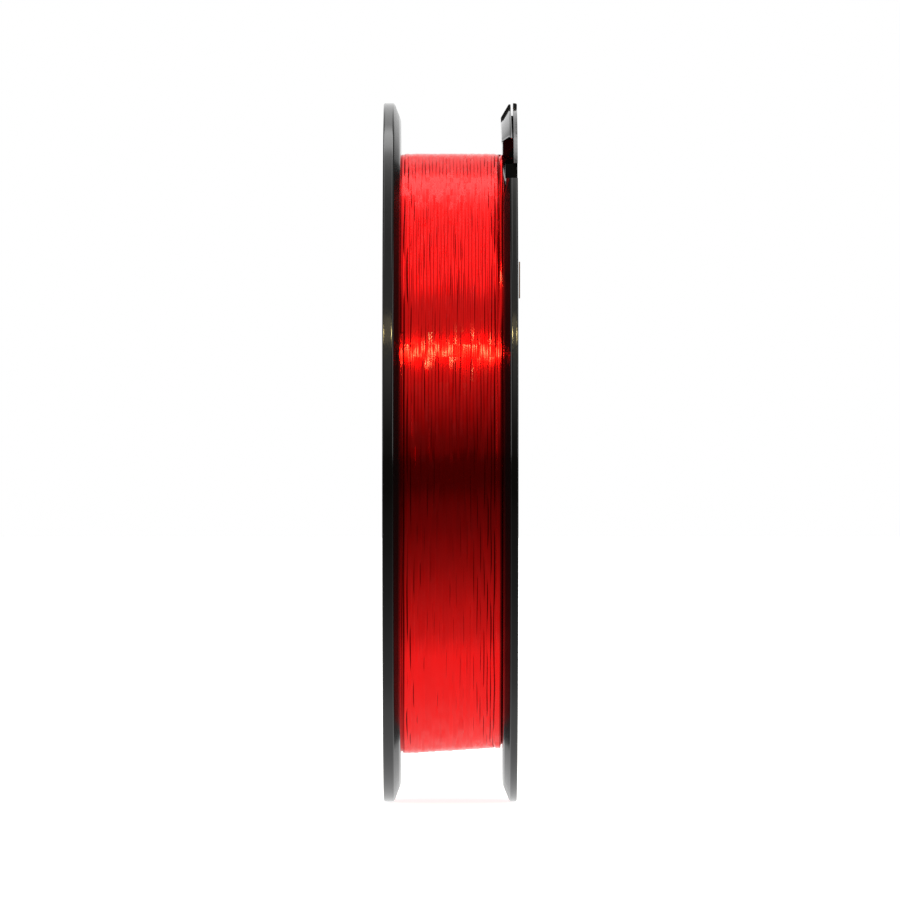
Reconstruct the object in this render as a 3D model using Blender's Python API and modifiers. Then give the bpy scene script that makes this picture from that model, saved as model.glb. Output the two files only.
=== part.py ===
"""Filler spool of nylon fishing line, standing on its rims with its axle along X.

Two moulded flanges are pressed onto the ends of a drum and of a spindle tube inside it. The line is
wound on the drum. A clip is cut in the rim of the right flange: a springy tongue in front of a thin
skin, with a window under it and a slot through which the line's end leaves the winding.
Metres, +Z up. The origin is on the axle, midway between the outer faces of the flanges.
"""

import math

import bmesh
import bpy
import numpy as np
from mathutils import Matrix, Vector

MM = 0.001

# Overall sizes.
OUTER_DIAMETER = 108.0 * MM
OVERALL_WIDTH = 20.56 * MM
BORE_DIAMETER = 22.0 * MM
CLEARANCE = 0.3 * MM  # between pieces that touch
ROUND_STEPS = 72

# Flanges. The left one is the thicker moulding.
LEFT_THICKNESS = 2.67 * MM
RIGHT_THICKNESS = 2.24 * MM
LEFT_CREST_WIDTH = 1.64 * MM  # flat band round the rim
RIGHT_CREST_WIDTH = 1.13 * MM
SHOULDER_DROP = 2.65 * MM  # radial height of the sloping shoulder inside the band
RIM_ROUND = 0.25 * MM
HUB_RING_WIDTH = 2.2 * MM
LABEL_RECESS_DEPTH = 0.4 * MM
SPIGOT_HEIGHT = 3.0 * MM  # ring on each flange that centres it in the drum
SPIGOT_WALL = 1.5 * MM

# Tubes between the flanges: the drum, held on their spigots, and the spindle tube in their holes.
DRUM_WALL = 1.5 * MM
SPINDLE_TUBE_WALL = 2.5 * MM
SPINDLE_TUBE_INSET = 0.1 * MM  # below the flanges' outer faces
BORE_CHAMFER = 0.5 * MM

# Line.
RIM_ABOVE_LINE = 7.9 * MM
LINE_DEPTH = 6.1 * MM  # from the drum to the outside of the winding
LINE_DIAMETER = 0.4 * MM
LINE_SIDE_GAP = 0.15 * MM  # between a line and the flange beside it
LEAST_TURN_GAP = 0.42 * MM
MOST_TURNS = 24
POINTS_PER_TURN = 24

# Line clip in the rim of the right flange.
CLIP_ABOVE_LINE = 1.25 * MM  # tongue's root chord above the winding
CLIP_FLOOR_ABOVE_LINE = 1.2 * MM  # deepest point of the lead-in slot above the winding
CLIP_FAR_ANGLE = math.radians(18.0)  # far end of the tongue, from the top of the rim
TONGUE_END_HEIGHT = 0.75 * MM  # of the tongue's near end, above its root
TONGUE_TOP = 0.3 * MM  # of the tongue, below the rim
TONGUE_CREST_WIDTH = 0.9 * MM
TONGUE_LEAN = math.radians(2.3)
SLIT_WIDTH = 0.3 * MM
SLIT_FLARE = math.radians(1.25)
SKIN_THICKNESS = 0.6 * MM
WINDOW_HEIGHT = 3.3 * MM
SLOT_HEIGHT = 2.35 * MM

# The line's end: how deep under the rim it meets the slot, and its way out through the slot, as the
# share of the way across to its end, the depth under the rim, and the share of the slot's height.
LEAD_DEPTH = 1.4 * MM
LEAD_STEPS = 6
LINE_END_INSET = 0.25 * MM  # from the flange's outer face
SLOT_ROUTE = (
    (0.00, 1.5 * MM, 0.55),
    (0.13, 2.0 * MM, 0.79),
    (0.48, 3.0 * MM, 0.83),
    (1.00, 3.8 * MM, 0.83),
)

# Paper.
LABEL_THICKNESS = 0.2 * MM
LABEL_GAP = 0.1 * MM
LABEL_EDGE_GAP = 0.3 * MM
LABEL_LAND = 0.85 * MM  # solid rim between the label's recess and the tongue's root
STICKER_HEIGHT = 5.5 * MM
STICKER_LENGTH = 4.4 * MM
STICKER_THICKNESS = 0.17 * MM
STICKER_RAISE = 23.3 * MM  # lower edge above the axle
STICKER_RIM_GAP = 0.9 * MM

# Sizes worked out from those above.
OUTER_RADIUS = OUTER_DIAMETER / 2
HALF_WIDTH = OVERALL_WIDTH / 2
BORE_RADIUS = BORE_DIAMETER / 2
LEFT_INNER = -HALF_WIDTH + LEFT_THICKNESS
RIGHT_INNER = HALF_WIDTH - RIGHT_THICKNESS
TUBE_RADIUS = BORE_RADIUS + SPINDLE_TUBE_WALL
FLANGE_HOLE_RADIUS = TUBE_RADIUS + CLEARANCE
HUB_RING_RADIUS = FLANGE_HOLE_RADIUS + HUB_RING_WIDTH
PACK_RADIUS = OUTER_RADIUS - RIM_ABOVE_LINE
DRUM_RADIUS = PACK_RADIUS - LINE_DEPTH
SPIGOT_RADIUS = DRUM_RADIUS - DRUM_WALL - CLEARANCE
ROOT_HEIGHT = PACK_RADIUS + CLIP_ABOVE_LINE
RECESS_RADIUS = ROOT_HEIGHT - LABEL_LAND
SKIN_INNER = HALF_WIDTH - SKIN_THICKNESS
TONGUE_OUTER = SKIN_INNER - SLIT_WIDTH
WINDOW_FLOOR = ROOT_HEIGHT - WINDOW_HEIGHT
SLOT_FLOOR = WINDOW_FLOOR - SLOT_HEIGHT
CLIP_FLOOR_RADIUS = PACK_RADIUS + CLIP_FLOOR_ABOVE_LINE
TURN_RADIUS = PACK_RADIUS - LINE_DIAMETER / 2


def new_collection(name):
    """An empty collection in the scene."""
    group = bpy.data.collections.new(name)
    bpy.context.scene.collection.children.link(group)
    return group


def plastic(name, colour, roughness):
    """Principled material of one colour."""
    material = bpy.data.materials.new(name)
    material.use_nodes = True
    shader = material.node_tree.nodes["Principled BSDF"]
    shader.inputs["Base Color"].default_value = (*colour, 1.0)
    shader.inputs["Roughness"].default_value = roughness
    shader.inputs["Metallic"].default_value = 0.0
    return material


def add_piece(name, data, material, group):
    """Object from a mesh or curve, in a collection."""
    piece = bpy.data.objects.new(name, data)
    data.materials.append(material)
    group.objects.link(piece)
    return piece


def turned(name, outline, material, group):
    """Ring turned about the axle from a closed outline of (x, radius) points.

    The outline runs outwards on its +X side and back inwards on its -X side. A flat facet, not a
    corner, faces straight down, so the rims stand still.
    """
    half_step = math.pi / ROUND_STEPS
    points = [(r * math.cos(half_step), r * math.sin(half_step), x) for x, r in outline]
    edges = [(i, (i + 1) % len(points)) for i in range(len(points))]
    mesh = bpy.data.meshes.new(name)
    mesh.from_pydata(points, edges, [])
    piece = add_piece(name, mesh, material, group)
    piece.rotation_euler = (0.0, math.pi / 2, 0.0)
    screw = piece.modifiers.new("turn", "SCREW")
    screw.axis = "Z"
    screw.angle = 2 * math.pi
    screw.steps = ROUND_STEPS
    screw.render_steps = ROUND_STEPS
    screw.use_merge_vertices = True
    screw.merge_threshold = 0.00001
    return piece


def block(name, low, high, material, group):
    """Box between two corners."""
    low = Vector(low)
    high = Vector(high)
    mesh = bpy.data.meshes.new(name)
    box = bmesh.new()
    place = Matrix.Translation((low + high) / 2) @ Matrix.Diagonal((high - low).to_4d())
    bmesh.ops.create_cube(box, size=1.0, matrix=place)
    box.to_mesh(mesh)
    box.free()
    return add_piece(name, mesh, material, group)


def cutter_block(name, low, high):
    """Box that only cuts."""
    tool = block(name, low, high, cutter_finish, cutters)
    tool.hide_render = True
    tool.display_type = "WIRE"
    return tool


def boolean(piece, tool, operation):
    """Boolean modifier on a piece."""
    cut = piece.modifiers.new(tool.name, "BOOLEAN")
    cut.operation = operation
    cut.solver = "EXACT"
    cut.object = tool


def mirrored(outline):
    """The same outline on the other side of the middle, still running the right way round."""
    return [(-x, r) for x, r in reversed(outline)]


def flange_outline(thickness, crest_width):
    """Section of a flange on the +X side: hub ring, label recess, rim, shoulder and spigot."""
    inner = HALF_WIDTH - thickness
    recess = HALF_WIDTH - LABEL_RECESS_DEPTH
    return [
        (HALF_WIDTH, FLANGE_HOLE_RADIUS),
        (HALF_WIDTH, HUB_RING_RADIUS),
        (recess, HUB_RING_RADIUS),
        (recess, RECESS_RADIUS),
        (HALF_WIDTH, RECESS_RADIUS),
        (HALF_WIDTH, OUTER_RADIUS - RIM_ROUND),
        (HALF_WIDTH - RIM_ROUND, OUTER_RADIUS),
        (HALF_WIDTH - crest_width, OUTER_RADIUS),
        (inner, OUTER_RADIUS - SHOULDER_DROP),
        (inner, SPIGOT_RADIUS),
        (inner - SPIGOT_HEIGHT, SPIGOT_RADIUS),
        (inner - SPIGOT_HEIGHT, SPIGOT_RADIUS - SPIGOT_WALL),
        (inner, SPIGOT_RADIUS - SPIGOT_WALL),
        (inner, FLANGE_HOLE_RADIUS),
    ]


def near_side(radius, height):
    """Y on the camera side of a circle about the axle, at a height."""
    return -math.sqrt(radius**2 - height**2)


def cut_clip(flange):
    """Slit and pocket behind the tongue, window below it and the slot that leads the line in."""
    beyond = OUTER_RADIUS * 1.2
    inside = RIGHT_INNER - CLEARANCE
    far_end = OUTER_RADIUS * math.sin(CLIP_FAR_ANGLE)
    window_end = near_side(CLIP_FLOOR_RADIUS, WINDOW_FLOOR)
    slot_end = near_side(CLIP_FLOOR_RADIUS, SLOT_FLOOR)
    pocket = ((inside, -beyond, ROOT_HEIGHT), (SKIN_INNER, far_end, beyond))
    window = ((inside, -beyond, WINDOW_FLOOR), (SKIN_INNER, window_end, ROOT_HEIGHT + CLEARANCE))
    slot = ((inside, -beyond, SLOT_FLOOR), (HALF_WIDTH + CLEARANCE, slot_end, WINDOW_FLOOR))
    for name, box in (("clip_pocket", pocket), ("clip_window", window), ("clip_slot", slot)):
        boolean(flange, cutter_block(name, *box), "DIFFERENCE")


def make_flanges():
    """The two flanges, and the clip cut in the right one."""
    black = plastic("gloss_black", (0.012, 0.012, 0.013), 0.12)
    right = flange_outline(RIGHT_THICKNESS, RIGHT_CREST_WIDTH)
    left = mirrored(flange_outline(LEFT_THICKNESS, LEFT_CREST_WIDTH))
    turned("left_flange", left, black, parts)
    cut_clip(turned("right_flange", right, black.copy(), parts))


def make_tubes():
    """Drum between the flanges' inner faces, and spindle tube from one outer face to the other."""
    black = plastic("tube_black", (0.02, 0.02, 0.021), 0.35)
    left = LEFT_INNER + CLEARANCE
    right = RIGHT_INNER - CLEARANCE
    inside = DRUM_RADIUS - DRUM_WALL
    drum = [(right, inside), (right, DRUM_RADIUS), (left, DRUM_RADIUS), (left, inside)]
    turned("drum_tube", drum, black, parts)
    end = HALF_WIDTH - SPINDLE_TUBE_INSET
    half = [(end - BORE_CHAMFER, BORE_RADIUS), (end, BORE_RADIUS + BORE_CHAMFER), (end, TUBE_RADIUS)]
    turned("spindle_tube", half + mirrored(half), black.copy(), parts)


def make_line_bulk():
    """The inner layers of line as one plain ring, under the outer layer of turns."""
    left = LEFT_INNER + CLEARANCE
    right = RIGHT_INNER - CLEARANCE
    chord_drop = math.cos(math.pi / POINTS_PER_TURN)
    outside = TURN_RADIUS * chord_drop - LINE_DIAMETER / 2 - CLEARANCE
    inside = DRUM_RADIUS + CLEARANCE
    outline = [(right, inside), (right, outside), (left, outside), (left, inside)]
    turned("line_bulk", outline, plastic("red_line", (0.75, 0.01, 0.008), 0.2), parts)


def on_circle(x, radius, angle):
    """Point round the axle. The angle grows from the top of the spool towards the camera."""
    return np.array((x, -radius * math.sin(angle), radius * math.cos(angle)))


def rim_point(x, radius, height):
    """Point on the camera side, from its radius and its height above the axle."""
    return np.array((x, near_side(radius, height), height))


def beside_flange(radius):
    """X of a line that lies against the right flange: its inner face, or the slope of its shoulder."""
    climb = max(radius - OUTER_RADIUS + SHOULDER_DROP, 0.0) / SHOULDER_DROP
    slope = climb * (RIGHT_THICKNESS - RIGHT_CREST_WIDTH)
    return RIGHT_INNER + slope - LINE_SIDE_GAP - LINE_DIAMETER / 2


def smooth(points, steps):
    """Catmull-Rom curve: each span is a cubic whose end slopes join its neighbours' ends."""
    ends = [2 * points[0] - points[1], *points, 2 * points[-1] - points[-2]]
    curve = []
    for a, b, c, d in zip(ends, ends[1:], ends[2:], ends[3:]):
        for step in range(steps):
            t = step / steps
            cubic = 2 * b + (c - a) * t + (2 * a - 5 * b + 4 * c - d) * t**2
            curve.append((cubic + (3 * b - a - 3 * c + d) * t**3) / 2)
    curve.append(points[-1])
    return curve


def outer_turns(leave_angle):
    """Helix of the outer layer, which leaves the winding at an angle from the top."""
    first = LEFT_INNER + LINE_SIDE_GAP + LINE_DIAMETER / 2
    last = beside_flange(TURN_RADIUS)
    turns = min(MOST_TURNS, int((last - first) / (LINE_DIAMETER + LEAST_TURN_GAP)))
    helix = []
    for step in range(turns * POINTS_PER_TURN + 1):
        share = step / (turns * POINTS_PER_TURN)
        angle = leave_angle + 2 * math.pi * turns * (1.0 - share)
        helix.append(on_circle(first + (last - first) * share, TURN_RADIUS, angle))
    back = helix[0] - helix[1]
    return [helix[0] + back * LINE_DIAMETER / np.linalg.norm(back), *helix]


def line_points():
    """Centre of the line: the outer turns, a straight run up the flange, then the way out of the slot."""
    lead_radius = OUTER_RADIUS - LEAD_DEPTH
    lead_angle = math.acos(SLOT_FLOOR / lead_radius)
    swing = math.acos(TURN_RADIUS / lead_radius)
    turns = outer_turns(lead_angle + swing)
    tail = []
    for step in range(LEAD_STEPS + 1):
        reach = math.atan(math.tan(swing) * step / LEAD_STEPS)
        radius = TURN_RADIUS / math.cos(reach)
        tail.append(on_circle(beside_flange(radius), radius, lead_angle + swing - reach))
    lead_x = tail[-1][0]
    end_x = HALF_WIDTH - LINE_END_INSET
    for across, depth, climb in SLOT_ROUTE:
        x = lead_x + across * (end_x - lead_x)
        tail.append(rim_point(x, OUTER_RADIUS - depth, SLOT_FLOOR + climb * SLOT_HEIGHT))
    return [*turns[:-1], *smooth(tail, 3)]


def least_gap_to_itself(points, diameter):
    """Least space between two stretches of a tube, sampled along it."""
    points = np.array(points)
    steps = np.linspace(0.0, 1.0, 4, endpoint=False)[:, None, None]
    samples = (points[:-1] + (points[1:] - points[:-1]) * steps).swapaxes(0, 1).reshape(-1, 3)
    along = np.concatenate(([0.0], np.linalg.norm(np.diff(samples, axis=0), axis=1).cumsum()))
    least = math.inf
    for here, place in zip(along, samples):
        apart = np.linalg.norm(samples - place, axis=1)
        least = min(least, apart[np.abs(along - here) > 8 * diameter].min())
    return least - diameter


def make_line_winding():
    """Outer layer of turns and the line's end, as one unbroken round tube."""
    points = line_points()
    print(f"line_winding: least gap to itself {least_gap_to_itself(points, LINE_DIAMETER) / MM:.3f} mm")
    curve = bpy.data.curves.new("line_winding", "CURVE")
    curve.dimensions = "3D"
    curve.bevel_depth = LINE_DIAMETER / 2
    curve.bevel_resolution = 1
    curve.use_fill_caps = True
    spline = curve.splines.new("POLY")
    spline.points.add(len(points) - 1)
    spline.points.foreach_set("co", [value for point in points for value in (*point, 1.0)])
    add_piece("line_winding", curve, plastic("red_line_end", (0.8, 0.012, 0.01), 0.15), parts)


def make_line_clip():
    """Tongue: a section like the rim's above the root chord, leaning in from its hinge line."""
    root = (RIGHT_INNER + TONGUE_OUTER) / 2
    hinge = bpy.data.objects.new("clip_hinge", None)
    parts.objects.link(hinge)
    hinge.location = (root, 0.0, ROOT_HEIGHT)
    hinge.rotation_euler = (0.0, -TONGUE_LEAN, 0.0)
    crest_radius = OUTER_RADIUS - TONGUE_TOP
    outline = [
        (HALF_WIDTH, PACK_RADIUS),
        (HALF_WIDTH, crest_radius),
        (HALF_WIDTH - TONGUE_CREST_WIDTH, crest_radius),
        (RIGHT_INNER, OUTER_RADIUS - SHOULDER_DROP),
        (RIGHT_INNER, PACK_RADIUS),
    ]
    tongue = turned("line_clip", outline, plastic("clip_black", (0.012, 0.012, 0.013), 0.12), parts)
    near_end = near_side(OUTER_RADIUS, ROOT_HEIGHT + TONGUE_END_HEIGHT)
    far_end = OUTER_RADIUS * math.sin(CLIP_FAR_ANGLE) - CLEARANCE
    bottom = ROOT_HEIGHT + CLEARANCE
    top = OUTER_RADIUS * 1.1
    low_corner = (RIGHT_INNER - CLEARANCE, near_end, bottom)
    blank = cutter_block("tongue_blank", low_corner, (TONGUE_OUTER, far_end, top))
    taper = (top - bottom) * math.tan(TONGUE_LEAN - SLIT_FLARE)
    for corner in blank.data.vertices:
        if corner.co.x > root and corner.co.z > (bottom + top) / 2:
            corner.co.x += taper
    boolean(tongue, blank, "INTERSECT")
    for child in (tongue, blank):
        child.parent = hinge
        child.matrix_parent_inverse = Matrix.Translation(-hinge.location)


def make_labels():
    """Plain paper rings in the recesses of both flanges, and a small sticker on the right rim."""
    paper = plastic("paper", (0.75, 0.74, 0.72), 0.7)
    inside = HUB_RING_RADIUS + LABEL_EDGE_GAP
    outside = RECESS_RADIUS - LABEL_EDGE_GAP
    back = HALF_WIDTH - LABEL_RECESS_DEPTH + LABEL_GAP
    front = back + LABEL_THICKNESS
    outline = [(front, inside), (front, outside), (back, outside), (back, inside)]
    turned("left_label", mirrored(outline), paper, parts)
    turned("right_label", outline, paper.copy(), parts)
    sticker_back = HALF_WIDTH + LABEL_GAP
    top = STICKER_RAISE + STICKER_HEIGHT
    edge = near_side(OUTER_RADIUS - STICKER_RIM_GAP, top)
    low = (sticker_back, edge, STICKER_RAISE)
    high = (sticker_back + STICKER_THICKNESS, edge + STICKER_LENGTH, top)
    block("rim_sticker", low, high, plastic("sticker_paper", (0.45, 0.33, 0.3), 0.6), parts)


for old in list(bpy.data.objects):
    bpy.data.objects.remove(old)
parts = new_collection("fishing_line_spool")
cutters = new_collection("cutters")
cutter_finish = plastic("cutter", (0.5, 0.5, 0.5), 0.5)
make_flanges()
make_tubes()
make_line_bulk()
make_line_winding()
make_line_clip()
make_labels()
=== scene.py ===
"""Filler spool of red nylon fishing line, standing on its rims with its axle along X.

The axle is at the origin, the camera looks along +Y, and the rims stand on the floor.
"""

import math

import bmesh
import bpy
import numpy as np
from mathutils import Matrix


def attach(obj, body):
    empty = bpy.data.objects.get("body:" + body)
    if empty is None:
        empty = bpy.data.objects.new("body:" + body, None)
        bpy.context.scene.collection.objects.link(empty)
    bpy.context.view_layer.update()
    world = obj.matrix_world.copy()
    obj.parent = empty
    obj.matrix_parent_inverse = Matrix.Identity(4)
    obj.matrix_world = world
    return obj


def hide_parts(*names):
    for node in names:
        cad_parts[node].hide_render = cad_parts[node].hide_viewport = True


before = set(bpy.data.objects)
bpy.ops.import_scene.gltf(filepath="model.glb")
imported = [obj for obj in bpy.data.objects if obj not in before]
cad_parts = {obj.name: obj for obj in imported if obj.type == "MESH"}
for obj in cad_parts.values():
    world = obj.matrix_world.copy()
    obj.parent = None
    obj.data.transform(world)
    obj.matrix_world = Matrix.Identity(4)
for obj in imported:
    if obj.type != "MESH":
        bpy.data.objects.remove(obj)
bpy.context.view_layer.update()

# Left flange.
# The thicker of the two flanges, injection moulded in glossy black styrene and pressed onto the drum.
# Its rim is a flat band with a sloping shoulder inside it, and its outer face is sunk for the label.

MM = 0.001
OUTER_RADIUS = 53.948  # all sizes in mm, unless they say m
HALF_WIDTH = 10.28
HUB_HOLE_RADIUS = 13.8
HUB_RING_RADIUS = 16.0
RECESS_RADIUS = 46.5
RECESS_DEPTH = 0.4
SPIGOT_OUTSIDE = 38.2
SPIGOT_INSIDE = 36.7
SPIGOT_HEIGHT = 3.0
SHOULDER_DROP = 2.65
SHOULDER_FOOT = 51.9
LEFT_INNER = 7.61
LEFT_CREST_WIDTH = 1.64
RIM_STEPS = 288
WELD = 0.00001  # points closer than this are one point
BLACK = (0.0045, 0.0045, 0.005)
DUST = (0.3, 0.29, 0.27)
POLISHED_SPECULAR = 0.5
# Painted shade: the shoulder's specular level, cut down so that its reflection shows dark.
SHADED_SHOULDER_SPECULAR = 0.04
SHADED_SHOULDER_ROUGHNESS = 0.03  # added to the roughness on the shoulder with painted shade
SHADED_SHOULDER_MARGIN = 0.08  # between the edge of the rim's band and the shoulder with painted shade


def eased(corners, steps=6):
    """Closed outline with rounded corners.

    A corner P becomes (1-t)^2 A + 2t(1-t) P + t^2 B for t from 0 to 1, where A and B lie on the two
    sides that meet in it, at the corner's own easing distance.
    """
    corners = np.array(corners, float)
    point, ease = corners[:, :2], corners[:, 2:]
    back = np.roll(point, 1, 0) - point
    onward = np.roll(point, -1, 0) - point
    a = point + back / np.linalg.norm(back, axis=1, keepdims=True) * ease
    b = point + onward / np.linalg.norm(onward, axis=1, keepdims=True) * ease
    t = np.linspace(0.0, 1.0, steps + 1)[:, None, None]
    curve = (1 - t) ** 2 * a + 2 * t * (1 - t) * point + t**2 * b
    return curve.swapaxes(0, 1).reshape(-1, 2)


def flange_outline(inner, crest_width):
    """Section of a flange on the +X side, from corners of x, radius and easing distance."""
    recess = HALF_WIDTH - RECESS_DEPTH
    return eased([
        (HALF_WIDTH, HUB_HOLE_RADIUS, 0.3),
        (HALF_WIDTH, HUB_RING_RADIUS, 0.15),
        (recess, HUB_RING_RADIUS, 0.08),
        (recess, RECESS_RADIUS, 0.08),
        (HALF_WIDTH, RECESS_RADIUS, 0.15),
        (HALF_WIDTH, OUTER_RADIUS, 0.3),
        (HALF_WIDTH - crest_width, OUTER_RADIUS, 0.3),
        (inner, OUTER_RADIUS - SHOULDER_DROP, 0.2),
        (inner, SPIGOT_OUTSIDE, 0.1),
        (inner - SPIGOT_HEIGHT, SPIGOT_OUTSIDE, 0.2),
        (inner - SPIGOT_HEIGHT, SPIGOT_INSIDE, 0.2),
        (inner, SPIGOT_INSIDE, 0.1),
        (inner, HUB_HOLE_RADIUS, 0.3),
    ])


def turned(outline, steps=RIM_STEPS):
    """Outline turned about the axle: (x, r) at angle a goes to (x, -r sin a, r cos a)."""
    angle = np.linspace(0.0, 2 * math.pi, steps, endpoint=False)[:, None]
    x, r = outline.T
    return np.stack(np.broadcast_arrays(x, -r * np.sin(angle), r * np.cos(angle)), -1)


def grid_faces(rows, columns, wrap_rows, wrap_columns):
    """Quads over a grid of points whose rows and columns may each close into a ring."""
    index = np.arange(rows * columns).reshape(rows, columns)
    corners = [index, np.roll(index, -1, 1), np.roll(index, (-1, -1), (0, 1)), np.roll(index, -1, 0)]
    kept = np.s_[: rows - (not wrap_rows), : columns - (not wrap_columns)]
    return np.stack([corner[kept] for corner in corners], -1).reshape(-1, 4)


def new_piece(name, points, faces, crease=35.0):
    """Object from points in mm, closed, facing outwards, and smooth up to the crease angle."""
    mesh = bpy.data.meshes.new(name)
    vertices = (points.reshape(-1, 3) * MM).tolist()
    mesh.from_pydata(vertices, [], [list(map(int, face)) for face in faces])
    shell = bmesh.new()
    shell.from_mesh(mesh)
    bmesh.ops.remove_doubles(shell, verts=shell.verts, dist=WELD * MM)
    bmesh.ops.recalc_face_normals(shell, faces=shell.faces)
    shell.to_mesh(mesh)
    shell.free()
    mesh.shade_smooth()
    mesh.set_sharp_from_angle(angle=math.radians(crease))
    piece = bpy.data.objects.new(name, mesh)
    bpy.context.scene.collection.objects.link(piece)
    return piece


def ring_piece(name, rings):
    """Piece whose grid of points closes both ways, as a turned outline does."""
    return new_piece(name, rings, grid_faces(*rings.shape[:2], True, True))


def keep_flats(piece):
    """Weighs the normals by face area, so that a flat face stays flat up to its eased edges."""
    piece.modifiers.new("flats", "WEIGHTED_NORMAL").keep_sharp = True


def new_finish(name, **sockets):
    """Principled material with some sockets set, its tree and its shader."""
    material = bpy.data.materials.new(name)
    material.use_nodes = True
    shader = material.node_tree.nodes["Principled BSDF"]
    for socket, value in sockets.items():
        shader.inputs[socket.replace("_", " ")].default_value = value
    return material, material.node_tree, shader


def feed(tree, socket, value):
    """Links an output to a socket, or sets the socket to a value."""
    if isinstance(value, bpy.types.NodeSocket):
        tree.links.new(value, socket)
    else:
        socket.default_value = value


def add_node(tree, kind, settings=(), **sockets):
    """Node with its settings, and its sockets fed by name."""
    made = tree.nodes.new("ShaderNode" + kind)
    for name, value in dict(settings).items():
        setattr(made, name, value)
    for name, value in sockets.items():
        feed(tree, made.inputs[name.replace("_", " ")], value)
    return made


def maths(tree, operation, *values):
    """Result of a math node over outputs and numbers."""
    made = add_node(tree, "Math", {"operation": operation})
    for socket, value in zip(made.inputs, values):
        feed(tree, socket, value)
    return made.outputs[0]


def ramp(tree, factor, *stops):
    """Colour ramp through stops of position and grey value or colour."""
    made = add_node(tree, "ValToRGB", Fac=factor)
    elements = made.color_ramp.elements
    while len(elements) < len(stops):
        elements.new(1.0)
    for element, (position, value) in zip(elements, stops):
        element.position = position
        element.color = (*(value if isinstance(value, tuple) else (value,) * 3), 1.0)
    return made.outputs["Color"]


def axle_distance_squared(tree, parts):
    """Squared distance from the axle: y^2 + z^2, in square metres."""
    squares = [maths(tree, "POWER", parts.outputs[axis], 2.0) for axis in ("Y", "Z")]
    return maths(tree, "ADD", *squares)


def black_moulding(name, band_edge):
    """Polished black styrene: faint sink waves, hairline scuffs and a few specks of dust.

    On the shoulder, inside the edge of the rim's band, the specular is cut and the roughness raised:
    painted shade that darkens its reflection. An edge of 0 leaves the whole piece polished.
    """
    material, tree, shader = new_finish(name, IOR=1.5)
    place = add_node(tree, "TexCoord").outputs["Object"]
    parts = add_node(tree, "SeparateXYZ", Vector=place)
    aside = maths(tree, "ABSOLUTE", parts.outputs["X"])
    inside_band = maths(tree, "LESS_THAN", aside, (band_edge - SHADED_SHOULDER_MARGIN) * MM)
    squared = axle_distance_squared(tree, parts)
    above_foot = maths(tree, "GREATER_THAN", squared, (SHOULDER_FOOT * MM) ** 2)
    # Painted shade: on the shoulder the specular falls from polished to a low level, darkening its
    # reflection.
    shaded_shoulder = maths(tree, "MULTIPLY", inside_band, above_foot)
    dust = add_node(tree, "TexVoronoi", Vector=place, Scale=260.0)
    speck = ramp(tree, dust.outputs["Distance"], (0.0, 1.0), (0.03, 1.0), (0.045, 0.0))
    chosen = ramp(tree, dust.outputs["Color"], (0.72, 0.0), (0.73, 1.0))
    dusty = maths(tree, "MULTIPLY", speck, chosen)
    colour = ramp(tree, dusty, (0.0, BLACK), (1.0, DUST))
    tree.links.new(colour, shader.inputs["Base Color"])
    scuffs = add_node(tree, "TexNoise", Vector=place, Scale=2600.0, Detail=4.0, Roughness=0.7)
    polish = ramp(tree, scuffs.outputs["Fac"], (0.35, 0.08), (0.75, 0.16))
    rough = maths(tree, "MULTIPLY_ADD", shaded_shoulder, SHADED_SHOULDER_ROUGHNESS, polish)
    tree.links.new(rough, shader.inputs["Roughness"])
    dimming = SHADED_SHOULDER_SPECULAR - POLISHED_SPECULAR
    specular = maths(tree, "MULTIPLY_ADD", shaded_shoulder, dimming, POLISHED_SPECULAR)
    tree.links.new(specular, shader.inputs["Specular IOR Level"])
    waves = add_node(tree, "TexNoise", Vector=place, Scale=260.0, Detail=2.0, Roughness=0.4)
    bump = add_node(tree, "Bump", Height=waves.outputs["Fac"], Strength=0.25, Distance=0.02 * MM)
    tree.links.new(bump.outputs["Normal"], shader.inputs["Normal"])
    return material


left_rings = turned(flange_outline(LEFT_INNER, LEFT_CREST_WIDTH)) * (-1.0, 1.0, 1.0)
left_flange = ring_piece("left_flange_moulding", left_rings)
keep_flats(left_flange)
left_flange.data.materials.append(black_moulding("flange_black_left", HALF_WIDTH - LEFT_CREST_WIDTH))
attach(left_flange, "spool")
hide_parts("left_flange")

# Right flange.
# The thinner flange, moulded in the same styrene. The line clip is cut in its rim: a pocket behind
# the tongue, a window under it with a raked end wall, and a slot with a ramp up its inner wall.

RIGHT_INNER = 8.04
RIGHT_CREST_WIDTH = 1.13
ROOT_HEIGHT = 47.9
SKIN_INNER = 9.68
SKIN_SUNK_RADIUS = 53.1
SKIN_STEP = -2.5  # y in front of which the skin over the pocket is sunk
SKIN_POINTS = 24  # along the arc of the sunk skin
POCKET_FAR_END = 13.0
WINDOW_FLOOR = 44.05
WINDOW_END = -17.2
WINDOW_RAKE = -0.65  # shift of its end wall in y at the outer side
WINDOW_LEAN = -0.541  # change of that wall's y with z
SLOT_FLOOR = 41.7
SLOT_END = -22.3
SLOT_WALL = 0.34
RAMP_FOOT = (-31.0, 41.5)  # y and z
RAMP_SLOPE = 0.466
BEYOND = 60.0  # further out than any point of the rim
CUT_MARGIN = 0.5  # how far cutters stand out of the moulding
CUT_OVERLAP = 0.1  # how far the slot's and the skin's cutters reach over their neighbours
WINDOW_OVERLAP = 0.3  # how far the window's cutter reaches into the pocket
CUT_EASE = 0.06
CUT_CORNER = math.radians(50.0)  # corners sharper than this are eased
CUT_CREASE = math.radians(24.0)


def prism(low_x, high_x, outline, shifts=0.0):
    """An outline of (y, z) points at x low, and again at x high with a shift of each point's y."""
    y, z = np.array(outline).T
    share = np.array((0.0, 1.0))[:, None]
    x = low_x + (high_x - low_x) * share
    return np.stack(np.broadcast_arrays(x, y + share * shifts, z), -1)


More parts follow.
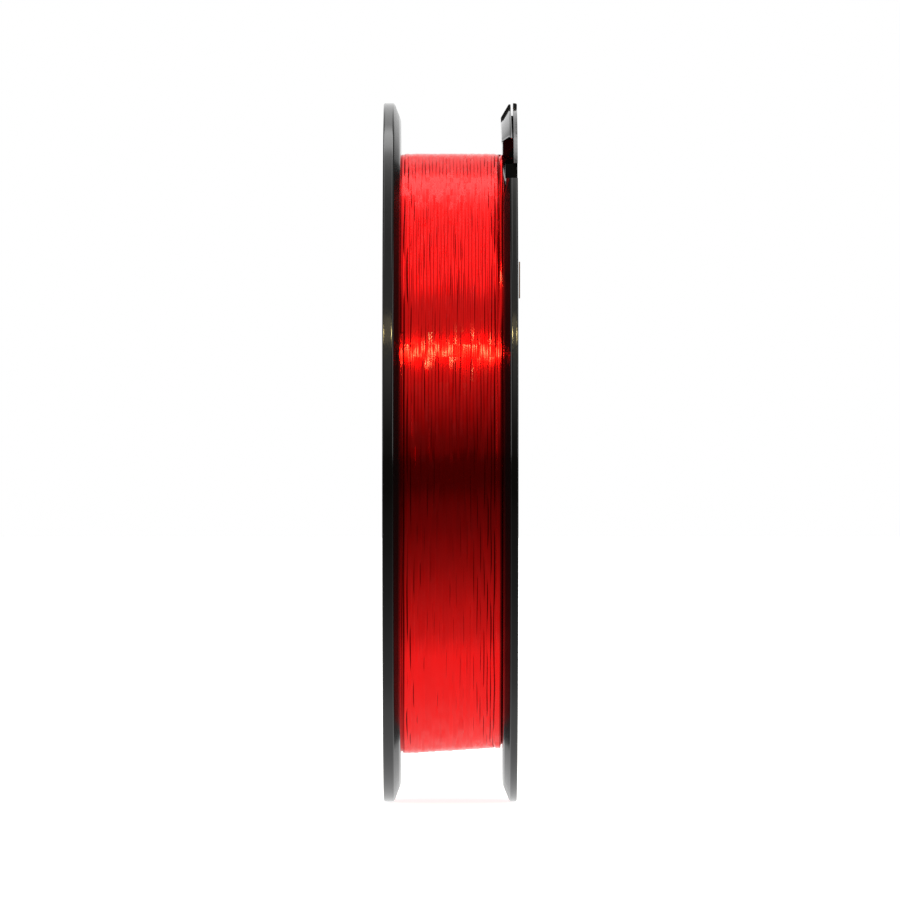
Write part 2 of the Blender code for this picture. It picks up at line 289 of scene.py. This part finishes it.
def capped_faces(rows, columns):
    """Quads over a grid whose rows close into rings, with a face over the first and the last ring."""
    caps = [list(range(columns)), list(range((rows - 1) * columns, rows * columns))]
    return [*grid_faces(rows, columns, False, True), *caps]


def carve(piece, cutters):
    """Cuts shapes out of a piece, eases the cut edges, and leaves a plain mesh."""
    for cutter in cutters:
        cut = piece.modifiers.new(cutter.name, "BOOLEAN")
        cut.solver = "EXACT"
        cut.object = cutter
    ease = piece.modifiers.new("ease", "BEVEL")
    ease.width = CUT_EASE * MM
    ease.segments = 2
    ease.limit_method = "ANGLE"
    ease.angle_limit = CUT_CORNER
    bpy.context.view_layer.update()
    whole = piece.evaluated_get(bpy.context.evaluated_depsgraph_get())
    carved = bpy.data.meshes.new_from_object(whole)
    piece.modifiers.clear()
    piece.data = carved
    carved.shade_smooth()
    carved.set_sharp_from_angle(angle=CUT_CREASE)
    for cutter in cutters:
        bpy.data.objects.remove(cutter)


right_rings = turned(flange_outline(RIGHT_INNER, RIGHT_CREST_WIDTH))
right_flange = ring_piece("right_flange_moulding", right_rings)
inside = RIGHT_INNER - CUT_MARGIN
outside = HALF_WIDTH + CUT_MARGIN
window_top = ROOT_HEIGHT + WINDOW_OVERLAP
window_foot = WINDOW_END + WINDOW_LEAN * (WINDOW_FLOOR - window_top)
sunk_y = np.linspace(SKIN_STEP, -math.sqrt(SKIN_SUNK_RADIUS**2 - WINDOW_FLOOR**2), SKIN_POINTS)
ramp_start = RAMP_FOOT[1] - RAMP_SLOPE * (BEYOND + RAMP_FOOT[0])
ramp_end = RAMP_FOOT[0] + (WINDOW_FLOOR - RAMP_FOOT[1]) / RAMP_SLOPE
cuts = {
    "pocket": prism(inside, SKIN_INNER, [
        (-BEYOND, ROOT_HEIGHT),
        (POCKET_FAR_END, ROOT_HEIGHT),
        (POCKET_FAR_END, BEYOND),
        (-BEYOND, BEYOND),
    ]),
    "window": prism(inside, SKIN_INNER, [
        (-BEYOND, WINDOW_FLOOR),
        (window_foot, WINDOW_FLOOR),
        (WINDOW_END, window_top),
        (-BEYOND, window_top),
    ], np.array((0.0, 1.0, 1.0, 0.0)) * WINDOW_RAKE),
    "slot": prism(RIGHT_INNER + SLOT_WALL, outside, [
        (-BEYOND, SLOT_FLOOR),
        (SLOT_END, SLOT_FLOOR),
        (SLOT_END, WINDOW_FLOOR),
        (-BEYOND, WINDOW_FLOOR),
    ]),
    "ramp": prism(inside, RIGHT_INNER + SLOT_WALL + CUT_OVERLAP, [
        (-BEYOND, ramp_start),
        (ramp_end, WINDOW_FLOOR),
        (-BEYOND, WINDOW_FLOOR),
    ]),
    "sunk_skin": prism(SKIN_INNER - CUT_OVERLAP, outside, [
        *zip(sunk_y, np.sqrt(SKIN_SUNK_RADIUS**2 - sunk_y**2)),
        (-BEYOND, WINDOW_FLOOR),
        (-BEYOND, BEYOND),
        (SKIN_STEP, BEYOND),
    ]),
}
cutters = [new_piece(name, points, capped_faces(*points.shape[:2])) for name, points in cuts.items()]
carve(right_flange, cutters)
keep_flats(right_flange)
right_flange.data.materials.append(black_moulding("flange_black_right", HALF_WIDTH - RIGHT_CREST_WIDTH))
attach(right_flange, "spool")
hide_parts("right_flange")

# Line clip.
# A springy tongue that is moulded in one with the right flange, left standing in front of the pocket.
# Its near half is sunk a little below the rim's section, and the step to the far half holds the line.

TONGUE_CORNERS = (  # x, radius and easing distance
    (9.56, 40.0, 0.0),
    (9.56, 53.75, 0.08),
    (9.25, 53.75, 0.08),
    (7.97, 51.75, 0.12),
    (8.06, 40.0, 0.0),
    (9.0, 40.0, 0.0),
)
TONGUE_SPACING = 0.25  # between the points of its section, at most
TONGUE_ROWS = 30  # sections on each side of the step
TONGUE_SINK = 0.75
TONGUE_STEP = SKIN_STEP
STEP_HALF = 0.05  # half the length over which the step rises
TONGUE_NEAR_END = -22.4
TONGUE_FAR_END = 12.8
TONGUE_BOTTOM = (9.0, 48.2, 0.6)  # x and z of the ridge over the window, and the fall to both sides
TONGUE_LEAN = math.radians(-2.3)
TONGUE_HINGE = (8.71, 47.35)  # x and z


def finer(outline, longest):
    """Closed outline with points added, so that no side is longer than a length."""
    sides = zip(outline, np.roll(outline, -1, 0))
    counts = ((a, b, max(1, math.ceil(np.linalg.norm(b - a) / longest))) for a, b in sides)
    return np.concatenate([np.linspace(a, b, count, endpoint=False) for a, b, count in counts])


def tongue_points():
    """The section carried along y, cut off at the tongue's underside and leaning about its hinge.

    A point (x, r) of the section at y has the height sqrt(r^2 - y^2), or the underside's if that is
    higher. The lean turns x and z about the hinge.
    """
    near = np.linspace(TONGUE_NEAR_END, TONGUE_STEP - STEP_HALF, TONGUE_ROWS)
    far = np.linspace(TONGUE_STEP + STEP_HALF, TONGUE_FAR_END, TONGUE_ROWS)
    y = np.concatenate((near, far))[:, None]
    x, r = finer(eased(TONGUE_CORNERS), TONGUE_SPACING).T
    r = r - TONGUE_SINK * (y < TONGUE_STEP)
    ridge_x, ridge_z, fall = TONGUE_BOTTOM
    underside = ridge_z - fall * np.abs(x - ridge_x) * (y < WINDOW_END)
    z = np.maximum(np.sqrt(np.maximum(r**2 - y**2, 0.0)), underside)
    out, up = x - TONGUE_HINGE[0], z - TONGUE_HINGE[1]
    leant_x = TONGUE_HINGE[0] + out * math.cos(TONGUE_LEAN) + up * math.sin(TONGUE_LEAN)
    leant_z = TONGUE_HINGE[1] - out * math.sin(TONGUE_LEAN) + up * math.cos(TONGUE_LEAN)
    return np.stack(np.broadcast_arrays(leant_x, y, leant_z), -1)


tongue_grid = tongue_points()
tongue = new_piece("line_clip_tongue", tongue_grid, capped_faces(*tongue_grid.shape[:2]))
keep_flats(tongue)
tongue.data.materials.append(black_moulding("clip_black", 0.0))
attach(tongue, "clip")
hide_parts("line_clip")

# Spindle tube and drum.
# The spindle tube is moulded in satin black plastic and held in the holes of the flanges, with a collar
# between them. The drum of the same plastic sits on their spigots, hidden under the line.

BORE_RADIUS = 11.0
TUBE_RADIUS = 13.5
TUBE_END = 10.18
TUBE_STEPS = 144
BORE_CHAMFER = 0.5
COLLAR_RADIUS = 15.5
COLLAR_LEFT = -7.51
COLLAR_RIGHT = 7.94
SATIN_DARK = 0.016
SATIN_LIGHT = 0.027


def satin_moulding(name):
    """Satin black plastic with a fine spark-eroded grain."""
    material, tree, shader = new_finish(name, Roughness=0.35)
    place = add_node(tree, "TexCoord").outputs["Object"]
    grain = add_node(tree, "TexNoise", Vector=place, Scale=4200.0, Detail=3.0)
    bump = add_node(tree, "Bump", Height=grain.outputs["Fac"], Strength=0.3, Distance=0.02 * MM)
    tree.links.new(bump.outputs["Normal"], shader.inputs["Normal"])
    shade = ramp(tree, grain.outputs["Fac"], (0.3, SATIN_DARK), (0.7, SATIN_LIGHT))
    tree.links.new(shade, shader.inputs["Base Color"])
    return material


def dress(name, material):
    """Gives a piece of the frame, whose shape is kept, its one material."""
    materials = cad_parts[name].data.materials
    materials.clear()
    materials.append(material)


tube_outline = eased([
    (TUBE_END - BORE_CHAMFER, BORE_RADIUS, 0.1),
    (TUBE_END, BORE_RADIUS + BORE_CHAMFER, 0.1),
    (TUBE_END, TUBE_RADIUS, 0.2),
    (COLLAR_RIGHT, TUBE_RADIUS, 0.1),
    (COLLAR_RIGHT, COLLAR_RADIUS, 0.2),
    (COLLAR_LEFT, COLLAR_RADIUS, 0.2),
    (COLLAR_LEFT, TUBE_RADIUS, 0.1),
    (-TUBE_END, TUBE_RADIUS, 0.2),
    (-TUBE_END, BORE_RADIUS + BORE_CHAMFER, 0.1),
    (BORE_CHAMFER - TUBE_END, BORE_RADIUS, 0.1),
])
spindle_tube = ring_piece("spindle_tube_moulding", turned(tube_outline, TUBE_STEPS))
spindle_tube.data.materials.append(satin_moulding("tube_black"))
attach(spindle_tube, "spool")
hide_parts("spindle_tube")
dress("drum_tube", satin_moulding("drum_black"))

# Inner layers of line.
# Clear red nylon monofilament, wound on the drum in many layers under tension. The inner ones are
# pressed together between the flanges, and are one ring of nylon here, with fine ridges on top.

PACK_RADIUS = 46.15
HALF_PACK = 7.8
BOTTOM_TILT = 0.5  # how much lower the pack hangs at its left end than in the middle, at the bottom
EDGE_DROP = 0.25  # fall of the pack's surface beside the flanges
CORE_DEPTH = 0.22
CORE_TOP = PACK_RADIUS - CORE_DEPTH
CORE_BOTTOM = 40.3
CORE_LEFT = -7.58
CORE_RIGHT = 8.01
CORE_STEPS = 144
RIDGE_HEIGHT = 0.05
RIDGE_PITCH = 0.5
RIDGE_POINTS = 240
SWELL_ABOVE = 42.0  # radius above which the ring follows the pack's swell
NYLON_DEEP = (0.9, 0.0006, 0.0004)
NYLON_BRIGHT = (0.99, 0.002, 0.001)
NYLON_EDGE = (1.0, 0.06, 0.05, 1.0)  # tint at a glancing angle


def pack_swell(x, angle):
    """Extra radius of the pack: at the bottom its left end hangs lower than its right end.

    The tilt goes with -x and with (1 - cos a) / 2, so that there is none at the top. Beside the
    flanges the surface falls with the tenth power of x.
    """
    return -BOTTOM_TILT * x / HALF_PACK * (1 - np.cos(angle)) / 2 - EDGE_DROP * (x / HALF_PACK) ** 10


def red_nylon(name):
    """Clear red line: light that goes in comes back red, as from a tinted mirror under a clear skin.

    A small part of it is scattered in the line.
    """
    material, tree, shader = new_finish(
        name, Metallic=0.95, Specular_Tint=NYLON_EDGE, Coat_Weight=0.27, Coat_Roughness=0.12
    )
    shade = add_node(tree, "Attribute", {"attribute_name": "shade"}).outputs["Fac"]
    red = ramp(tree, shade, (0.0, NYLON_DEEP), (1.0, NYLON_BRIGHT))
    tree.links.new(red, shader.inputs["Base Color"])
    rough = ramp(tree, shade, (0.0, 0.15), (1.0, 0.1))
    tree.links.new(rough, shader.inputs["Roughness"])
    ripple = add_node(tree, "Attribute", {"attribute_name": "ripple"}).outputs["Fac"]
    skin = add_node(tree, "Bump", Height=ripple, Distance=MM)
    tree.links.new(skin.outputs["Normal"], shader.inputs["Coat Normal"])
    return material


ridge_x = np.linspace(CORE_RIGHT, CORE_LEFT, RIDGE_POINTS)
ridge_r = CORE_TOP + RIDGE_HEIGHT * np.abs(np.sin(ridge_x * math.pi / RIDGE_PITCH))
core_outline = np.concatenate((
    [(CORE_RIGHT, CORE_BOTTOM)], np.stack((ridge_x, ridge_r), -1), [(CORE_LEFT, CORE_BOTTOM)]
))
core_x, core_y, core_z = np.moveaxis(turned(core_outline, CORE_STEPS), -1, 0)
follows = np.hypot(core_y, core_z) > SWELL_ABOVE
swell = 1 + pack_swell(core_x, np.arctan2(-core_y, core_z)) / CORE_TOP * follows
line_core = ring_piece("line_inner_layers", np.stack((core_x, core_y * swell, core_z * swell), -1))
line_core.data.materials.append(red_nylon("red_nylon_core"))
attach(line_core, "spool")
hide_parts("line_bulk")

# Under layer of line.
# The last layer but one of the same line, wound back the other way. Only a little of it shows, in the
# grooves of the layer on top, so its turns have few sides.

LINE_DIAMETER = 0.54
PACKED_HEIGHT = 0.16  # of the line in the pack, where its turns are pressed into one another
PACKED_WIDTH = 0.86
TURN_RADIUS = PACK_RADIUS - PACKED_HEIGHT / 2
TURN_POINTS = 144
LOOSE_HEIGHT = 0.4  # over the turns, where the line starts to be round again
LINE_FIRST = -7.24
LINE_LAST = 7.48
UNDER_TURNS = 27
UNDER_DEPTH = 0.11
UNDER_SIDES = 6
SIDE_WANDER = (0.03, 12.0, 40.0)  # size, shortest and longest wave
HEIGHT_WANDER = (0.025, 9.0, 30.0)
SHADE_MEAN = 0.5
SHADE_WANDER = (0.25, 20.0, 160.0)
SKIN_RIPPLE = (0.05, 6.0, 16.0)
WANDER_WAVES = 48


def wander(place, seed, size, shortest, longest):
    """Smooth noise of about a size: a sum of 48 sines with random lengths and phases."""
    dice = np.random.default_rng(seed)
    waves = 2 * math.pi / dice.uniform(shortest, longest, WANDER_WAVES)
    phases = dice.uniform(0.0, 2 * math.pi, WANDER_WAVES)
    return size * np.sin(place[:, None] * waves + phases).sum(1) / math.sqrt(WANDER_WAVES / 2)


def helix(turns, radius, leave_angle, seed):
    """Turns over the width of the pack: the angle falls to leave_angle while x rises evenly.

    Along the line, x and the radius wander by smooth noise that dies out at the last half turn.
    """
    share = np.linspace(0.0, 1.0, turns * TURN_POINTS + 1)
    angle = leave_angle + 2 * math.pi * turns * (1 - share)
    place = share * turns * 2 * math.pi * radius
    calm = np.clip((1 - share) * turns * 2, 0.0, 1.0)
    x = LINE_FIRST + (LINE_LAST - LINE_FIRST) * share + calm * wander(place, seed, *SIDE_WANDER)
    x = np.clip(x, LINE_FIRST, LINE_LAST)
    r = radius + calm * (pack_swell(x, angle) + wander(place, seed + 1, *HEIGHT_WANDER))
    return np.stack((x, -r * np.sin(angle), r * np.cos(angle)), -1)


def tube_points(path, height, width, sides):
    """Tube along a path: centre + height/2 cos a U + width/2 sin a V.

    U points away from the axle and V is square to U and to the path.
    """
    ahead = np.gradient(path, axis=0)
    ahead /= np.linalg.norm(ahead, axis=1, keepdims=True)
    u = path * (0.0, 1.0, 1.0)
    u -= (u * ahead).sum(1, keepdims=True) * ahead
    u /= np.linalg.norm(u, axis=1, keepdims=True)
    v = np.cross(ahead, u)
    a = np.linspace(0.0, 2 * math.pi, sides, endpoint=False)[:, None]
    u, v = u * np.reshape(height, (-1, 1)) / 2, v * np.reshape(width, (-1, 1)) / 2
    return path[:, None] + np.cos(a) * u[:, None] + np.sin(a) * v[:, None]


def line_piece(name, path, sides, seed):
    """Tube of line with closed ends, and attributes along it: its shade and its skin's ripple in mm.

    It is pressed flat in the pack, and round where it has left the pack.
    """
    loose = np.clip(np.hypot(*path[:, 1:].T) - TURN_RADIUS - LOOSE_HEIGHT, 0.0, 1.0)
    height = PACKED_HEIGHT + (LINE_DIAMETER - PACKED_HEIGHT) * loose
    width = PACKED_WIDTH + (LINE_DIAMETER - PACKED_WIDTH) * loose
    points = tube_points(path, height, width, sides)
    piece = new_piece(name, points, capped_faces(len(path), sides), crease=60.0)
    along = np.concatenate(([0.0], np.linalg.norm(np.diff(path, axis=0), axis=1).cumsum()))
    for label, values in (
        ("shade", SHADE_MEAN + wander(along, seed, *SHADE_WANDER)),
        ("ripple", wander(along, seed + 1, *SKIN_RIPPLE)),
    ):
        attribute = piece.data.attributes.new(label, "FLOAT", "POINT")
        attribute.data.foreach_set("value", np.repeat(values, sides).astype(np.float32))
    return piece


under_path = helix(UNDER_TURNS, TURN_RADIUS - UNDER_DEPTH, 0.0, seed=31) * (1.0, -1.0, 1.0)
under_layer = line_piece("line_under_layer", under_path, UNDER_SIDES, seed=7)
under_layer.data.materials.append(red_nylon("red_nylon_under"))
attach(under_layer, "spool")

# Outer layer of line.
# The last layer, a single run of turns. Its end is led up beside the right flange and tucked in the
# clip's window, which keeps it from springing off the spool.

OUTER_TURNS = 28
LINE_SIDES = 12
LEAVE_ANGLE = math.radians(66.8)  # where the end leaves the turns, from the top towards the camera
CLIP_WAY = np.array([
    (7.75, -39.94, 23.34),
    (7.75, -37.12, 29.90),
    (7.75, -34.31, 36.45),
    (7.75, -32.30, 40.00),
    (7.75, -29.90, 42.60),
    (7.78, -27.00, 44.40),
    (7.95, -23.00, 45.20),
    (8.40, -19.50, 45.20),
    (8.95, -18.30, 45.05),
    (9.30, -17.90, 44.95),
])
CLIP_WAY_STEPS = 8


def through(points, steps):
    """Catmull-Rom curve: each span is the cubic whose end slopes join its neighbours' ends."""
    ends = np.concatenate((2 * points[:1] - points[1:2], points, 2 * points[-1:] - points[-2:-1]))
    a, b, c, d = ends[:-3, None], ends[1:-2, None], ends[2:-1, None], ends[3:, None]
    t = np.arange(steps)[:, None] / steps
    cubic = 2 * b + (c - a) * t + (2 * a - 5 * b + 4 * c - d) * t**2 + (3 * b - a - 3 * c + d) * t**3
    return np.concatenate((cubic.reshape(-1, 3) / 2, points[-1:]))


outer_path = helix(OUTER_TURNS, TURN_RADIUS, LEAVE_ANGLE, seed=11)
to_clip = through(np.concatenate((outer_path[-1:], CLIP_WAY)), CLIP_WAY_STEPS)
outer_path = np.concatenate((outer_path[:-1], to_clip))
outer_layer = line_piece("line_outer_layer", outer_path, LINE_SIDES, seed=5)
outer_layer.data.materials.append(red_nylon("red_nylon_outer"))
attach(outer_layer, "spool")
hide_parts("line_winding")

# Labels and sticker.
# Rings of coated paper, without any lettering, glued in the sunk faces of the flanges, and a small
# blank sticker on the rim's outer face whose edge can be seen from the front.

LABEL_WHITE = (0.75, 0.74, 0.72)
STICKER_TAN = (0.45, 0.33, 0.3)
INK_RED = (0.45, 0.01, 0.01)
INK_EDGE = 0.1  # width over which the ink fades
LABEL_RINGS = ((18.5, 19.0), (42.1, 44.5))  # inner and outer radius
PRINT_REACH = 60.0  # radius at the end of the colour ramp


def paper(name, ground, rings=()):
    """Coated paper with faint fibres, in one colour, with printed rings from radius to radius."""
    material, tree, shader = new_finish(name, Base_Color=(*ground, 1.0), Roughness=0.5)
    place = add_node(tree, "TexCoord").outputs["Object"]
    fibres = add_node(tree, "TexNoise", Vector=place, Scale=1800.0, Detail=5.0, Roughness=0.7)
    bump = add_node(tree, "Bump", Height=fibres.outputs["Fac"], Strength=0.2, Distance=0.01 * MM)
    tree.links.new(bump.outputs["Normal"], shader.inputs["Normal"])
    stops = []
    for inner, outer in rings:
        stops += [(inner - INK_EDGE, ground), (inner, INK_RED)]
        stops += [(outer, INK_RED), (outer + INK_EDGE, ground)]
    if stops:
        parts = add_node(tree, "SeparateXYZ", Vector=place)
        radius = maths(tree, "SQRT", axle_distance_squared(tree, parts))
        share = maths(tree, "DIVIDE", radius, PRINT_REACH * MM)
        printed = ramp(tree, share, *((reach / PRINT_REACH, colour) for reach, colour in stops))
        tree.links.new(printed, shader.inputs["Base Color"])
    return material


for name in ("left_label", "right_label"):
    dress(name, paper(name + "_paper", LABEL_WHITE, LABEL_RINGS))
dress("rim_sticker", paper("rim_sticker_paper", STICKER_TAN))

# Floor.
# A large matt white sheet that the spool stands on. The camera sees it as white with a faint shadow.
# Other rays see painted shade on it, dark in front and bright behind, which the gloss of the spool
# mirrors.

FLOOR_HEIGHT = -OUTER_RADIUS
FLOOR_NEAR = -3000.0
FLOOR_FAR = 6000.0
FLOOR_SIDE = 3000.0
FLOOR_GREY = (0.85, 0.85, 0.85, 1.0)
FLOOR_GLOW = 0.88
PAINTED_SHADE_START = -0.26  # y in m where the floor's painted shade starts to get lighter
PAINTED_SHADE_LENGTH = 0.3  # m
PAINTED_SHADE_STOPS = (  # painted shade of the floor, as radiance, by the share of the way back
    (0.02, 0.03), (0.15, 0.05), (0.48, 0.125), (0.6, 0.24), (0.657, 0.38), (0.72, 0.6), (0.747, 0.9),
    (0.8, 0.95), (0.87, 1.0), (1.0, 1.0),
)


def seen_directly(tree):
    """1 for rays from the camera and for rays that have passed through something clear, else 0."""
    ray = add_node(tree, "LightPath")
    return maths(tree, "MAXIMUM", ray.outputs["Is Camera Ray"], ray.outputs["Is Transmission Ray"])


def mixed(tree, share, first, second):
    """Shader that goes from the first to the second as a share goes from 0 to 1."""
    mix = add_node(tree, "MixShader", Fac=share)
    tree.links.new(first, mix.inputs[1])
    tree.links.new(second, mix.inputs[2])
    return mix.outputs[0]


def added(tree, first, second):
    """Sum of two shaders."""
    total = add_node(tree, "AddShader")
    tree.links.new(first, total.inputs[0])
    tree.links.new(second, total.inputs[1])
    return total.outputs[0]


floor_mesh = bpy.data.meshes.new("floor")
floor_corners = np.array([
    (-FLOOR_SIDE, FLOOR_NEAR, FLOOR_HEIGHT),
    (FLOOR_SIDE, FLOOR_NEAR, FLOOR_HEIGHT),
    (FLOOR_SIDE, FLOOR_FAR, FLOOR_HEIGHT),
    (-FLOOR_SIDE, FLOOR_FAR, FLOOR_HEIGHT),
])
floor_mesh.from_pydata((floor_corners * MM).tolist(), [], [(0, 1, 2, 3)])
floor = bpy.data.objects.new("floor", floor_mesh)
bpy.context.scene.collection.objects.link(floor)
sheet, tree, shader = new_finish(
    "white_sheet", Base_Color=FLOOR_GREY, Roughness=0.9, Specular_IOR_Level=0.0
)
place = add_node(tree, "SeparateXYZ", Vector=add_node(tree, "TexCoord").outputs["Object"])
behind = maths(tree, "DIVIDE", maths(tree, "SUBTRACT", place.outputs["Y"], PAINTED_SHADE_START), PAINTED_SHADE_LENGTH)
# Painted shade: rays other than the camera's see the floor glow by this ramp, dark in front and bright
# behind.
painted_floor_shade = add_node(tree, "Emission", Color=ramp(tree, behind, *PAINTED_SHADE_STOPS)).outputs["Emission"]
glow = add_node(tree, "Emission", Strength=FLOOR_GLOW).outputs["Emission"]
white = added(tree, shader.outputs["BSDF"], glow)
surface = mixed(tree, seen_directly(tree), painted_floor_shade, white)
tree.links.new(surface, tree.nodes["Material Output"].inputs["Surface"])
floor_mesh.materials.append(sheet)

# Room.
# A studio that is bright behind the spool and dark in front of it. Its walls differ straight ahead, a
# little aside and far out beside the spool, where a softbox hangs on each side. The camera sees plain
# white in its place.

AHEAD = (  # radiance by elevation in degrees, from the front over the top to the back
    (-180, 1.0), (-90, 0.85), (-50, 0.36), (-32, 0.125), (-16, 0.055), (0, 0.07), (5, 0.09), (16, 0.29),
    (28, 0.55), (45, 0.5), (59, 0.47), (73, 0.4), (92, 0.54), (107, 0.95), (116, 1.5), (121, 2.7),
    (131, 2.7), (137, 1.2), (146, 1.07), (160, 1.0), (180, 1.0),
)
ASIDE = (
    (-180, 1.1), (-90, 1.0), (-50, 0.4), (-32, 0.125), (-16, 0.08), (0, 0.09), (5, 0.1), (16, 0.23),
    (30, 0.4), (50, 0.5), (60, 0.6), (68, 1.3), (80, 1.7), (100, 1.7), (116, 1.8), (121, 3.0),
    (131, 3.0), (135, 0.8), (140, 0.45), (152, 0.45), (162, 0.9), (180, 1.0),
)
BESIDE = (
    (-180, 0.6), (-90, 0.5), (0, 0.08), (5, 0.09), (16, 0.15), (30, 0.2), (60, 0.35), (100, 0.35),
    (115, 0.15), (150, 0.15), (180, 0.4),
)
BRIGHTEST = 3.0  # radiance
SOFTBOX = ((0.0, 0.0), (0.78, 0.0), (0.86, 0.58))  # share of the brightest by |x| of the direction
ASIDE_FROM = 0.03  # |x| of the direction
BESIDE_FROM = 0.28
ROOM_BLEND = 0.1


def background(tree, colour):
    """Light from all around, in a colour that says the share of the brightest."""
    return add_node(tree, "Background", Color=colour, Strength=BRIGHTEST).outputs[0]


def room(tree, share, radiance):
    """Background whose radiance goes by the share of the way from -180 to 180 degrees."""
    stops = [((degrees + 180) / 360, value / BRIGHTEST) for degrees, value in radiance]
    return background(tree, ramp(tree, share, *stops))


def beyond(tree, value, start):
    """Share that rises from 0 to 1 while a value rises by the blend's width from the start."""
    rise = maths(tree, "DIVIDE", maths(tree, "SUBTRACT", value, start), ROOM_BLEND)
    return add_node(tree, "Clamp", Value=rise).outputs[0]


world = bpy.data.worlds.new("studio")
bpy.context.scene.world = world
world.use_nodes = True
tree = world.node_tree
way = add_node(tree, "SeparateXYZ", Vector=add_node(tree, "TexCoord").outputs["Generated"])
turn = maths(tree, "ARCTAN2", way.outputs["Z"], maths(tree, "MULTIPLY", way.outputs["Y"], -1.0))
share = maths(tree, "DIVIDE", maths(tree, "ADD", turn, math.pi), 2 * math.pi)
across = maths(tree, "ABSOLUTE", way.outputs["X"])
ahead, aside, beside = (room(tree, share, radiance) for radiance in (AHEAD, ASIDE, BESIDE))
walls = added(tree, beside, background(tree, ramp(tree, across, *SOFTBOX)))
middle = mixed(tree, beyond(tree, across, ASIDE_FROM), ahead, aside)
studio = mixed(tree, beyond(tree, across, BESIDE_FROM), middle, walls)
bright = tree.nodes["Background"]
bright.inputs["Color"].default_value = (1.0, 1.0, 1.0, 1.0)
surface = mixed(tree, seen_directly(tree), studio, bright.outputs[0])
tree.links.new(surface, tree.nodes["World Output"].inputs["Surface"])

# Lamps and camera.
# A weak lamp and two warm strip lamps stand in front of the spool. The strips make the gold highlight
# across the upper part of the line. The camera stands level with the axle and has a long lens.

LAMP_DISTANCE = 1.4  # m
WARM = (1.0, 0.82, 0.48)
AMBER = (1.0, 0.78, 0.32)
STRIP_AZIMUTH = 15.6
CAMERA_DISTANCE = 2.0  # m
CAMERA_ASIDE = -0.046
CAMERA_UP = 0.34
LENS = 517.4


def lamp(name, azimuth, elevation, size, radiance, colour):
    """Area lamp that points at the spool, from an azimuth off the camera's side and an elevation.

    The angles are in degrees and the size is the width and height in m. The power is the radiance
    times pi and the area.
    """
    light = bpy.data.lights.new(name, "AREA")
    light.shape = "RECTANGLE"
    light.size, light.size_y = size
    light.color = colour
    light.energy = radiance * math.pi * math.prod(size)
    fitting = bpy.data.objects.new(name, light)
    bpy.context.scene.collection.objects.link(fitting)
    turn, lift = math.radians(azimuth), math.radians(elevation)
    fitting.location = (
        LAMP_DISTANCE * math.sin(turn) * math.cos(lift),
        -LAMP_DISTANCE * math.cos(turn) * math.cos(lift),
        LAMP_DISTANCE * math.sin(lift),
    )
    fitting.rotation_euler = (math.pi / 2 - lift, 0.0, turn)


lamp("front_lamp", azimuth=0.0, elevation=40.0, size=(0.1, 0.22), radiance=1.2, colour=WARM)
for name, azimuth in (("warm_strip_left", -STRIP_AZIMUTH), ("warm_strip_right", STRIP_AZIMUTH)):
    lamp(name, azimuth, elevation=38.0, size=(0.34, 0.05), radiance=70.0, colour=AMBER)

camera = bpy.data.objects.new("camera", bpy.data.cameras.new("camera"))
bpy.context.scene.collection.objects.link(camera)
camera.location = (CAMERA_ASIDE * MM, -CAMERA_DISTANCE, CAMERA_UP * MM)
camera.rotation_euler = (math.pi / 2, 0.0, 0.0)
camera.data.lens = LENS
bpy.context.scene.camera = camera
bpy.context.scene.view_settings.view_transform = "Standard"
